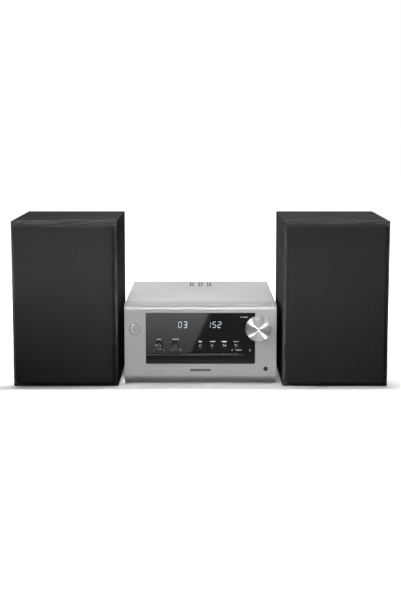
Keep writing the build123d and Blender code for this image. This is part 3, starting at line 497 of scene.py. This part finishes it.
lens = Finish("laser_lens", Roughness=0.05, Coat_Weight=1.0)
x, y, z = lens.place()
sheen = lens.noise(x * 300, y * 300, z * 300)
lens.feed(Base_Color=lens.blend(sheen, (0.02, 0.03, 0.12), (0.06, 0.10, 0.28)))
hub_height = 0.0024
table_top, lens_top, puck_top = (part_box(name)[1].z for name in ("turntable", "pickup_sled", "clamp_puck"))
ring_top = table_top - hub_height
dress_faces(roll_rubber, "turntable", lambda spot, way: abs(spot.z - ring_top) < 0.0001 and way.z > 0.9)
dress_faces(lens, "pickup_sled", lambda spot, way: spot.z > lens_top - 0.0001)
dress_faces(zinc, "clamp_puck", lambda spot, way: way.z > 0.9 and spot.z > puck_top - 0.0001)

# ---- rear panel and its sockets --------------------------------------------------------------------
# A flat steel panel in fine black powder coat. The connector blocks are moulded in black, with coloured
# collars that tell the wires apart, and the mains inlet has two plain pins.
powder = mottled("powder_coat", 1100, 0.012, 0.028, 0.45, 0.25, depth=0.00008, detail=2)
dress(powder, "rear_panel")
dress(moulding, "rear_sockets", "ac_inlet")
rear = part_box("rear_panel")[1].y


def on_mains_pin(spot, way):
    """The two pins, each 2.4 mm across, that stand in the mains inlet."""
    beside = min(abs(spot.x - 0.075), abs(spot.x - 0.083))
    return rear - 0.0142 < spot.y < rear - 0.0019 and beside < 0.00125 and abs(spot.z - 0.032) < 0.00125


dress_faces(zinc, "ac_inlet", on_mains_pin)
nickel = mottled("nickel_screws", 1600, (0.48, 0.47, 0.45), (0.70, 0.69, 0.67), 0.18, 0.2, Metallic=1.0)


def on_wire_sleeve(spot, way):
    """The two sleeves of a terminal cup that grip the bared wires."""
    nearer_cup = min(cup_middles, key=lambda cup: abs(spot.x - cup))
    return math.hypot(abs(spot.x - nearer_cup) - 0.012, spot.z - 0.052) < 0.00402


cup_middles = [centre(f"terminal_cup_{side}").x for side in sides]
for side in sides:
    dress_faces(nickel, f"terminal_cup_{side}", on_wire_sleeve)

collar_white = mottled("collar_white", 500, (0.62, 0.61, 0.58), (0.75, 0.74, 0.72), 0.35, 0.15)


def rear_screws(work):
    low_row, high_row = 0.013, 0.103
    corners = [(-0.097, low_row), (0.097, low_row), (-0.097, high_row), (0.097, high_row)]
    for across, up in (*corners, (0.0, low_row), (-0.045, high_row)):
        screw(work, (across, rear, up), (0, 1, 0), 0.0028, 0.0013)


piece("rear_screws", "amplifier", black_zinc, rear_screws)
socket_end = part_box("rear_sockets")[1].y


def collars(name, finish, places):
    """Thin coloured rings on the mouths of sockets; each place is x, z, inner and outer radius."""

    def rings(work):
        for across, up, inner, outer in places:
            profile = [(0, inner), (0, outer), (0.0003, outer - 0.0002), (0.0003, inner + 0.0002), (0, inner)]
            ring_of(work, (across, socket_end, up), (0, 1, 0), profile, turns=24)

    piece(name, "amplifier", finish, rings)


speaker_hole, phono_mouth = (0.035, 0.0024, 0.0040), (0.038, 0.0020, 0.0039)
red_mouths = [(0.019, *speaker_hole), (0.039, *speaker_hole), (-0.0845, *phono_mouth)]
collars("red_collars", lever_red, red_mouths)
collars("black_collars", lever_black, [(0.029, *speaker_hole), (0.049, *speaker_hole)])
collars("white_collar", collar_white, [(-0.0695, *phono_mouth)])
collars("aerial_collar", nickel, [(-0.0845, 0.080, 0.0030, 0.0045)])

# ---- cover -----------------------------------------------------------------------------------------
# One bent steel sheet in satin silver paint, rolled on so that the flakes lie in faint lines across it.
# Two screws hold each side to the chassis, and a gauze of fine wires is spot-welded under its vents.
cover_paint = Finish("cover_silver_paint", Metallic=0.85)
x, y, z = cover_paint.place()
lines = cover_paint.noise(x * 4, y * 420, z * 420, detail=4)
flakes = cover_paint.noise(x * 3000, y * 3000, z * 3000, detail=1)
drift = cover_paint.noise(x * 7, y * 7, z * 7)
shade = lines * 0.5 + flakes * 0.3 + drift * 0.2
cover_paint.feed(
    Base_Color=cover_paint.blend(shade, (0.53, 0.53, 0.535), (0.68, 0.68, 0.685)),
    Roughness=0.36 + lines * 0.12,
)
cover_paint.bump(lines * 0.6 + flakes * 0.4, 0.000012)
dress(cover_paint, "top_cover")
cover_low, cover_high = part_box("top_cover")


def cover_screws(work):
    for deep in (0.02, 0.115):
        for across, out in ((cover_low.x, -1), (cover_high.x, 1)):
            screw(work, (across, deep, 0.0135), (out, 0, 0), 0.0028, 0.0013)


piece("cover_screws", "amplifier", nickel, cover_screws)


def vent_gauze(work):
    """Fine square wires, crossed under the slots, that keep dust out."""
    thick, under = 0.0003, cover_high.z - 0.0011

    def wire(left, right, near, far):
        corners = [(left, near), (right, near), (right, far), (left, far)]
        spots = [work.verts.new((a, d, under - drop)) for drop in (0, thick) for a, d in corners]
        for face in ((0, 1, 2, 3), (7, 6, 5, 4), (0, 4, 5, 1), (1, 5, 6, 2), (2, 6, 7, 3), (3, 7, 4, 0)):
            work.faces.new([spots[k] for k in face])

    for k in range(38):
        deep = 0.0718 + 0.0012 * k
        wire(-0.0185, 0.0185, deep, deep + thick)
    for k in range(25):
        across = -0.0182 + 0.0015 * k
        wire(across, across + thick, 0.0716, 0.1168)


piece("vent_gauze", "amplifier", cover_paint, vent_gauze)

# ---- front moulding --------------------------------------------------------------------------------
# A moulded front in the same silver, with long rounded edges. A plain dark badge, with nothing on it,
# is glued in the middle below the window. The power button has its sign printed on it, and a thin dark
# ring stands round it.
front_paint = Finish("front_silver_paint", Metallic=0.85)
x, y, z = front_paint.place()
hair = front_paint.noise(x * 5, y * 500, z * 500, detail=3)
flakes = front_paint.noise(x * 3000, y * 3000, z * 3000, detail=1)
front_paint.feed(
    Base_Color=front_paint.blend(hair * 0.45 + flakes * 0.55, (0.41, 0.41, 0.414), (0.51, 0.51, 0.514)),
    Roughness=0.38 + hair * 0.08,
)
front_paint.bump(hair * 0.5 + flakes * 0.5, 0.000010)
dress(front_paint, "front_panel", "power_button")
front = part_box("front_panel")[0].y

brushed_dark = (0.10, 0.10, 0.105), (0.20, 0.20, 0.205)
badge_metal = mottled("badge_metal", (40, 900, 2500), *brushed_dark, 0.28, 0.15, detail=3, Metallic=1.0)


def plate_of(work, outline, y_front, y_back):
    """A thin plate facing the listener, from an outline of (x, z) points."""
    near = [work.verts.new((a, y_front, b)) for a, b in outline]
    far = [work.verts.new((a, y_back, b)) for a, b in outline]
    work.faces.new(near)
    work.faces.new(far[::-1])
    for k in range(len(outline)):
        step = (k + 1) % len(outline)
        work.faces.new([near[step], near[k], far[k], far[step]])


def badge(work):
    reach, up, radius = 0.0131, 0.0212, 0.0016
    ends = []
    for side, start in ((1, -90), (-1, 90)):
        for k in range(9):
            turn = math.radians(start + 180 * k / 8)
            ends.append((side * reach + radius * math.cos(turn), up + radius * math.sin(turn)))
    plate_of(work, ends, front - 0.0004, front + 0.0001)


piece("blank_badge", "amplifier", badge_metal, badge, bevel=0.00015)


def bar_at(left, low, right, high):
    """The outline of an upright bar."""
    return [(left, low), (right, low), (right, high), (left, high)]


def power_mark(work):
    """A broken ring with a short bar in the gap, printed on the button."""
    spot = centre("power_button")
    face = front - 0.0006
    ring = []
    for radius, turns in ((0.0022, range(35, 326, 15)), (0.0017, range(325, 34, -15))):
        for turn in map(math.radians, turns):
            ring.append((spot.x + radius * math.sin(turn), spot.z + radius * math.cos(turn)))
    half_bar = 0.00025
    bar = bar_at(spot.x - half_bar, spot.z + 0.0006, spot.x + half_bar, spot.z + 0.0026)
    for outline in (ring, bar):
        plate_of(work, outline, face, face + 0.0003)


grey_print = mottled("grey_print", 4000, 0.08, 0.13, 0.5, 0.2)
piece("power_mark", "power_button", grey_print, power_mark)


def power_ring(work):
    """A thin raised ring round the power button."""
    spot = centre("power_button")
    lip = [(-0.0001, 0.0074), (0.0002, 0.0075), (0.0002, 0.0080), (-0.0001, 0.0081)]
    ring_of(work, (spot.x, front, spot.z), (0, -1, 0), lip, turns=64)


piece("power_ring", "amplifier", grey_print, power_ring)

# ---- window ----------------------------------------------------------------------------------------
# Polished black acrylic, clear enough for the display's figures to glow through. White marks are screen
# printed on its face: plain dashes where words would be, and signs for less, more and eject.
acrylic = mottled("black_acrylic", 22, (0.003, 0.003, 0.0032), (0.006, 0.006, 0.0064), 0.03, 0.03, detail=4)
dress(acrylic, "display_window")
window_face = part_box("display_window")[0].y

white_print = mottled("white_print", 4000, 0.50, 0.68, 0.45, 0.2)


def printed(work, outline):
    """A film of ink or light on the window's face."""
    plate_of(work, outline, window_face - 0.00004, window_face + 0.00002)


def dashes(work, across, up, *widths, tall=1.3):
    """A row of short bars, centred, in place of a word; all in millimetres."""
    gap = 0.4
    left = across - (sum(widths) + gap * (len(widths) - 1)) / 2
    for width in widths:
        edges = (left, up - tall / 2, left + width, up + tall / 2)
        printed(work, bar_at(*(edge * 0.001 for edge in edges)))
        left += width + gap


def window_marks(work):
    # Over the tone knobs, over the four buttons, under the last of those, and beside the volume knob.
    dashes(work, -57.2, 64.1, 1.4, 1.0, 1.4, 1.2)
    dashes(work, -34.4, 64.1, 1.2, 1.4, 1.0, 1.5, 1.3)
    dashes(work, -0.3, 61.1, 1.3, 0.9, 1.4)
    dashes(work, 16.4, 61.1, 1.3, 1.0, 1.3, 0.9, 1.4)
    dashes(work, 32.3, 61.1, 1.4, 1.1, 0.9, 1.4, 1.2)
    dashes(work, 49.0, 61.1, 1.2, 1.4, 0.9, 1.3, 1.4, tall=1.1)
    dashes(work, 52.4, 49.1, 1.3, 1.0, 1.4, 1.1, 1.4, tall=1.2)
    dashes(work, 59.6, 95.0, 1.3, 1.1, 1.4, 1.0, 1.4, 1.2, tall=1.1)
    # Less and more, beside each tone knob.
    for across in (-64.0, -41.3):
        dashes(work, across, 49.1, 1.8, tall=0.6)
    for across in (-50.2, -27.6):
        dashes(work, across, 49.1, 2.1, tall=0.7)
        dashes(work, across, 49.1, 0.7, tall=2.1)
    # A plain block in place of a sign, then eject: a triangle over a bar.
    dashes(work, 43.8, 49.1, 1.5, tall=1.9)
    printed(work, [(0.0669, 0.0487), (0.0695, 0.0487), (0.0682, 0.0506)])
    dashes(work, 68.2, 47.9, 2.6, tall=0.5)


piece("window_marks", "amplifier", white_print, window_marks)

figure_glow = Finish("display_figures", Roughness=0.4, Emission_Strength=1.0)
x, y, z = figure_glow.place()
mesh_dots = figure_glow.noise(x * 2600, y * 2600, z * 2600, detail=1)
figure_glow.feed(
    Base_Color=figure_glow.blend(mesh_dots, (0.30, 0.36, 0.38), (0.40, 0.46, 0.48)),
    Emission_Color=figure_glow.blend(mesh_dots, (0.25, 0.32, 0.35), (0.38, 0.48, 0.52)),
)
bars_of = {0: "abcdef", 1: "bc", 2: "abged", 3: "abgcd", 5: "afgcd"}


def figure(work, number, across, up):
    """A seven-bar figure, leaning a little to the right."""
    wide, tall, thick, slant = 0.0040, 0.0078, 0.00085, 0.10
    half, midway, trim = thick / 2, tall / 2, thick * 0.62
    spans = {
        "a": ((0, tall), (wide, tall)),
        "g": ((0, midway), (wide, midway)),
        "d": ((0, 0), (wide, 0)),
        "f": ((0, midway), (0, tall)),
        "b": ((wide, midway), (wide, tall)),
        "e": ((0, 0), (0, midway)),
        "c": ((wide, 0), (wide, midway)),
    }
    for bar in bars_of[number]:
        start, end = spans[bar]
        lying = start[1] == end[1]
        # A bar from its start to its end, pointed at both, drawn lying and stood up where it has to be.
        first, last = (start[0], end[0]) if lying else (start[1], end[1])
        first, last = first + trim, last - trim
        below, above = [(first, -half), (last, -half)], [(last, half), (first, half)]
        shape = [*below, (last + half, 0), *above, (first - half, 0)]
        if lying:
            spots = [(run, start[1] + side) for run, side in shape]
        else:
            spots = [(start[0] - side, run) for run, side in shape]
        printed(work, [(across + a + b * slant, up + b) for a, b in spots])


def display_figures(work):
    for number, across in ((0, -0.0305), (3, -0.0233), (1, 0.0093), (5, 0.0166), (2, 0.0237)):
        figure(work, number, across, 0.0805)


piece("display_figures", "amplifier", figure_glow, display_figures)

# ---- knobs and buttons -----------------------------------------------------------------------------
# The volume knob is turned from aluminium with a spun face, so that light fans out from its middle. The
# tone knobs, with rounded shoulders and dished ends, and the four small domed buttons, each in its own
# sloping rim, are moulded in glossy black.
spun = Finish("spun_aluminium", Metallic=1.0, Anisotropic=0.99, Anisotropic_Rotation=0.25)
x, y, z = spun.place()
knob_middle = centre("volume_knob")
radius = spun.maths("SQRT", (x - knob_middle.x) ** 2.0 + (z - knob_middle.z) ** 2.0)
grooves = spun.noise(radius * 9000, 0.5, 0.5, detail=3)
spun.feed(Base_Color=spun.blend(grooves, 0.62, 0.74), Roughness=0.36 + grooves * 0.06)
spun.feed(Tangent=spun.node("ShaderNodeTangent", {"direction_type": "RADIAL", "axis": "Y"}))
dress(spun, "volume_knob")


def in_knob_groove(spot, way):
    """The black groove turned round the volume knob."""
    within = math.hypot(spot.x - knob_middle.x, spot.z - knob_middle.z) < 0.0158
    return front - 0.0045 < spot.y < front - 0.0033 and within


groove_black = mottled("knob_groove", 1500, 0.02, 0.05, 0.5, 0.2)
dress_faces(groove_black, "volume_knob", in_knob_groove)

small_buttons = "stop_button", "back_button", "forward_button", "source_button"
button_gloss = mottled("glossy_black_moulding", 250, 0.010, 0.022, 0.18, 0.08, Specular_IOR_Level=0.9)
dress(button_gloss, "bass_knob", "treble_knob", *small_buttons)


def arc(radius, start, stop, step):
    """Points round a circle between two turns in degrees, as (along the cosine, along the sine)."""
    return [(radius * math.cos(a), radius * math.sin(a)) for a in map(math.radians, range(start, stop, step))]


def dome_cap(name):
    """The polished crown of a small button."""
    low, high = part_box(name)
    spot = ((low.x + high.x) / 2, low.y, (low.z + high.z) / 2)
    sphere, sunk = 0.00445, 0.00353
    crown = [(height - sunk, reach) for height, reach in arc(sphere, 0, 40, 4)]
    return lambda work: ring_of(work, spot, (0, -1, 0), [(-0.0002, 0.0027), *crown[::-1]])


def button_ring(name):
    """The sloping rim round a small button."""
    spot = centre(name)
    lip = [(-0.0001, 0.0031), (0.00005, 0.0031), (0.00035, 0.0037), (0.00035, 0.0039), (-0.0001, 0.0040)]
    return lambda work: ring_of(work, (spot.x, window_face, spot.z), (0, -1, 0), lip)


def knob_shoulder(name):
    """The rounded shoulder and shallow dish on the end of a tone knob."""
    spot, end = centre(name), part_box(name)[0].y
    shoulder = [(height, 0.0038 + reach) for reach, height in arc(0.0014, -10, 91, 10)]
    dish = [(0.0013, 0.0035), (0.0009, 0.0031), (0.0008, 0.0026), (0.0008, 0)]
    return lambda work: ring_of(work, (spot.x, end, spot.z), (0, -1, 0), [*shoulder, *dish], turns=48)


for name in small_buttons:
    piece(f"{name}_crown", name, button_gloss, dome_cap(name))
    piece(f"{name}_rim", "amplifier", button_gloss, button_ring(name))
for name in ("bass_knob", "treble_knob"):
    piece(f"{name}_shoulder", name, button_gloss, knob_shoulder(name))

# ---- drawer front and eject key --------------------------------------------------------------------
# Both are moulded in the window's black. A polished bead along the drawer's top edge catches the light, and
# it is coloured a grey lighter than the drawer's black as a painted highlight.
dress(acrylic, "tray_front", "eject_button")

# Painted highlight: the bead's grey stands in for the line of light along the drawer's top edge.
bead_painted_highlight_grey = mottled("drawer_lip_painted_highlight", (60, 900, 900), 0.055, 0.085, 0.24, 0.1, Specular_IOR_Level=0.8)


def drawer_bead(work):
    low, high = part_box("tray_front")
    bead = [(low.y + 0.0002 - out, high.z - 0.0008 + up) for out, up in arc(0.0006, -90, 91, 15)]
    left = [work.verts.new((low.x + 0.0004, *spot)) for spot in bead]
    right = [work.verts.new((high.x - 0.0004, *spot)) for spot in bead]
    for k in range(len(bead) - 1):
        work.faces.new([left[k], left[k + 1], right[k + 1], right[k]])
    work.faces.new(left)
    work.faces.new(right[::-1])
    work.faces.new([left[0], right[0], right[-1], left[-1]])


piece("drawer_lip_painted_highlight", "drawer", bead_painted_highlight_grey, drawer_bead)

# ---- headphone socket and hidden controls ----------------------------------------------------------
# A black bush through the front moulding, and the plated bodies of the rotary controls behind it.
dress(moulding, "headphone_jack")
dress(zinc, "rotary_controls")

# ---- studio ----------------------------------------------------------------------------------------
# A white floor that fades into a white background, and a broad overhead cloth. A key lamp up on the left
# and a smaller one on the right are narrowed to the amplifier, and one lamp over each speaker's front is
# narrowed to its grille. The cards, and the second set of floors, only show as reflections.
def stage_sheet(name, corners, glow=0.0, colour=0.0):
    """A flat card and its paint; colour is how white it is and glow how bright it shines by itself."""
    mesh = bpy.data.meshes.new(name)
    mesh.from_pydata(corners, [], [tuple(range(len(corners)))])
    made = bpy.data.objects.new(name, mesh)
    bpy.context.scene.collection.objects.link(made)
    paint = Finish(name + "_paint", Roughness=0.9, Specular_IOR_Level=0.0, Emission_Strength=1.0)
    x, y, z = paint.place()
    mottle = paint.noise(x * 3, y * 3, z * 3)
    paint.feed(
        Base_Color=paint.blend(mottle, colour * 0.995, colour),
        Emission_Color=paint.blend(mottle, glow * 0.99, glow),
    )
    mesh.materials.append(paint.material)
    return made, paint


def seen_by(made, camera=False, diffuse=False, glossy=False, shadow=False):
    made.visible_camera = camera
    made.visible_diffuse = diffuse
    made.visible_glossy = glossy
    made.visible_transmission = False
    made.visible_volume_scatter = False
    made.visible_shadow = shadow


def leaning(half, near, low, far, high):
    """The corners of a card, from its near edge at one height to its far edge at another."""
    return [(-half, near, low), (half, near, low), (half, far, high), (-half, far, high)]


def level(half, near, far, height):
    """The corners of a card that lies flat."""
    return leaning(half, near, height, far, height)


# The floor takes the lamps' shadows close round the set, and glows white behind it, in front of it and beside
# it. Its glow is held low close round the set, a painted shade that darkens the floor there beyond the real
# shadows; in front of the amplifier, the glow's steep rise sets where that shade ends.
floor, paint = stage_sheet("studio_floor", level(6, -6, 6, -0.0002), colour=0.9)
x, y, z = paint.place()
behind = (paint.maths("SQRT", x ** 2.0 + (y * 1.3) ** 2.0) - 0.42) * 3.0
ahead = paint.maths("MAXIMUM", behind, (-0.141 - y) * 55)
glow_outside_painted_shade = paint.maths("MAXIMUM", ahead, (abs(x) - 0.260) * 18)
# Painted shade: the floor's glow falls almost to nothing close round the set.
paint.feed(Emission_Color=paint.blend(glow_outside_painted_shade, 0.03, 1.0))
seen_by(floor, camera=True)
table, paint = stage_sheet("studio_table", level(6, -6, 6, -0.0006), colour=0.05)
seen_by(table, diffuse=True, shadow=True)
mirrored_table, paint = stage_sheet("mirrored_table", level(6, -6, 6, -0.0008), glow=0.20)
seen_by(mirrored_table, glossy=True)
apron, paint = stage_sheet("mirrored_apron", level(0.16, -0.275, -0.15, 0.0005), glow=0.60)
seen_by(apron, glossy=True)

# A slanting bright board that the window mirrors over its left half.
board_edges = [(-0.125, -0.90), (0.028, -0.90), (-0.0165, -0.345), (-0.100, -0.345)]
board, paint = stage_sheet("mirrored_board", [(*edge, 0.001) for edge in board_edges])
x, y, z = paint.place()
paint.feed(Emission_Color=paint.blend((-0.345 - y) * 2.4, 0.9, 2.1))
seen_by(board, glossy=True)

mesh = bpy.data.meshes.new("studio_background")
work = bmesh.new()
bmesh.ops.create_uvsphere(work, u_segments=48, v_segments=24, radius=5.8)
work.to_mesh(mesh)
work.free()
background = bpy.data.objects.new("studio_background", mesh)
bpy.context.scene.collection.objects.link(background)
light = Finish("background_white", Base_Color=(0, 0, 0, 1), Specular_IOR_Level=0.0, Emission_Strength=1.0)
mesh.materials.append(light.material)
light.feed(Emission_Color=light.blend(light.noise(*light.place()), 0.995, 1.0))
seen_by(background, camera=True)

# The cards behind, above, in front and low in front; three of them brighten from left to right or back.
top_card, paint = stage_sheet("top_card", level(1.6, -0.2, 2.6, 2.4), glow=1.0)
strip, paint = stage_sheet("top_strip", level(0.9, -0.58, -0.36, 2.38), glow=3.0)
for card in (top_card, strip):
    seen_by(card, glossy=True)
for name, corners, middle, slope, dim, bright in (
    ("back_card", leaning(1.6, 2.6, -0.05, 2.6, 2.4), 0.5, -0.55, 0.50, 1.34),
    ("front_card", leaning(0.4, -2.3, 0.75, -1.7, 1.8), 0.5, 1.2, 2.6, 2.8),
    ("low_card", leaning(1.8, -3.0, 0.0, -2.8, 0.9), 0.40, 1.9, 0.02, 1.35),
):
    card, paint = stage_sheet(name, corners)
    x, y, z = paint.place()
    paint.feed(Emission_Color=paint.blend(x * slope + middle, dim, bright))
    seen_by(card, glossy=True)


def lamp(name, spot, target, size, energy, spread=180, glossy=True):
    """A flat lamp at spot that faces target; its light leaves within spread, in degrees."""
    data = bpy.data.lights.new(name, "AREA")
    data.shape = "RECTANGLE"
    data.size, data.size_y = size
    data.energy = energy
    data.spread = math.radians(spread)
    made = bpy.data.objects.new(name, data)
    bpy.context.scene.collection.objects.link(made)
    made.location = spot
    made.rotation_euler = (Vector(target) - Vector(spot)).to_track_quat("-Z", "Y").to_euler()
    made.visible_glossy = glossy


lamp("key_lamp", (-0.86, -1.33, 0.84), (0.08, -0.135, 0.12), (0.5, 0.5), 0.72, spread=13)
lamp("side_lamp", (1.04, -1.32, 0.56), (0.06, -0.135, 0.11), (0.11, 0.11), 0.06, spread=9)
lamp("overhead_cloth", (0, 0.35, 1.5), (0, 0.35, 0), (2.0, 1.1), 17, glossy=False)
for side, across, power in (("left", -0.2, 0.15), ("right", 0.2, 0.07)):
    spot, target = (across, -0.46, 0.74), (across, -0.135, 0.165)
    lamp(f"speaker_lamp_{side}", spot, target, (0.22, 0.04), power, spread=12, glossy=False)

world = bpy.data.worlds.new("studio_air")
world.use_nodes = True
air = world.node_tree.nodes["Background"].inputs
air["Color"].default_value = (1, 1, 1, 1)
air["Strength"].default_value = 0.08
bpy.context.scene.world = world
bpy.context.scene.view_settings.view_transform = "Standard"

lens_data = bpy.data.cameras.new("camera")
lens_data.lens = 75.41
lens_data.sensor_width = 36
lens_data.clip_end = 50
camera = bpy.data.objects.new("camera", lens_data)
bpy.context.scene.collection.objects.link(camera)
camera.location = (0, -1.8263, 0.3666)
looking_down = 8.27
camera.rotation_euler = (math.radians(90 - looking_down), 0, 0)
bpy.context.scene.camera = camera
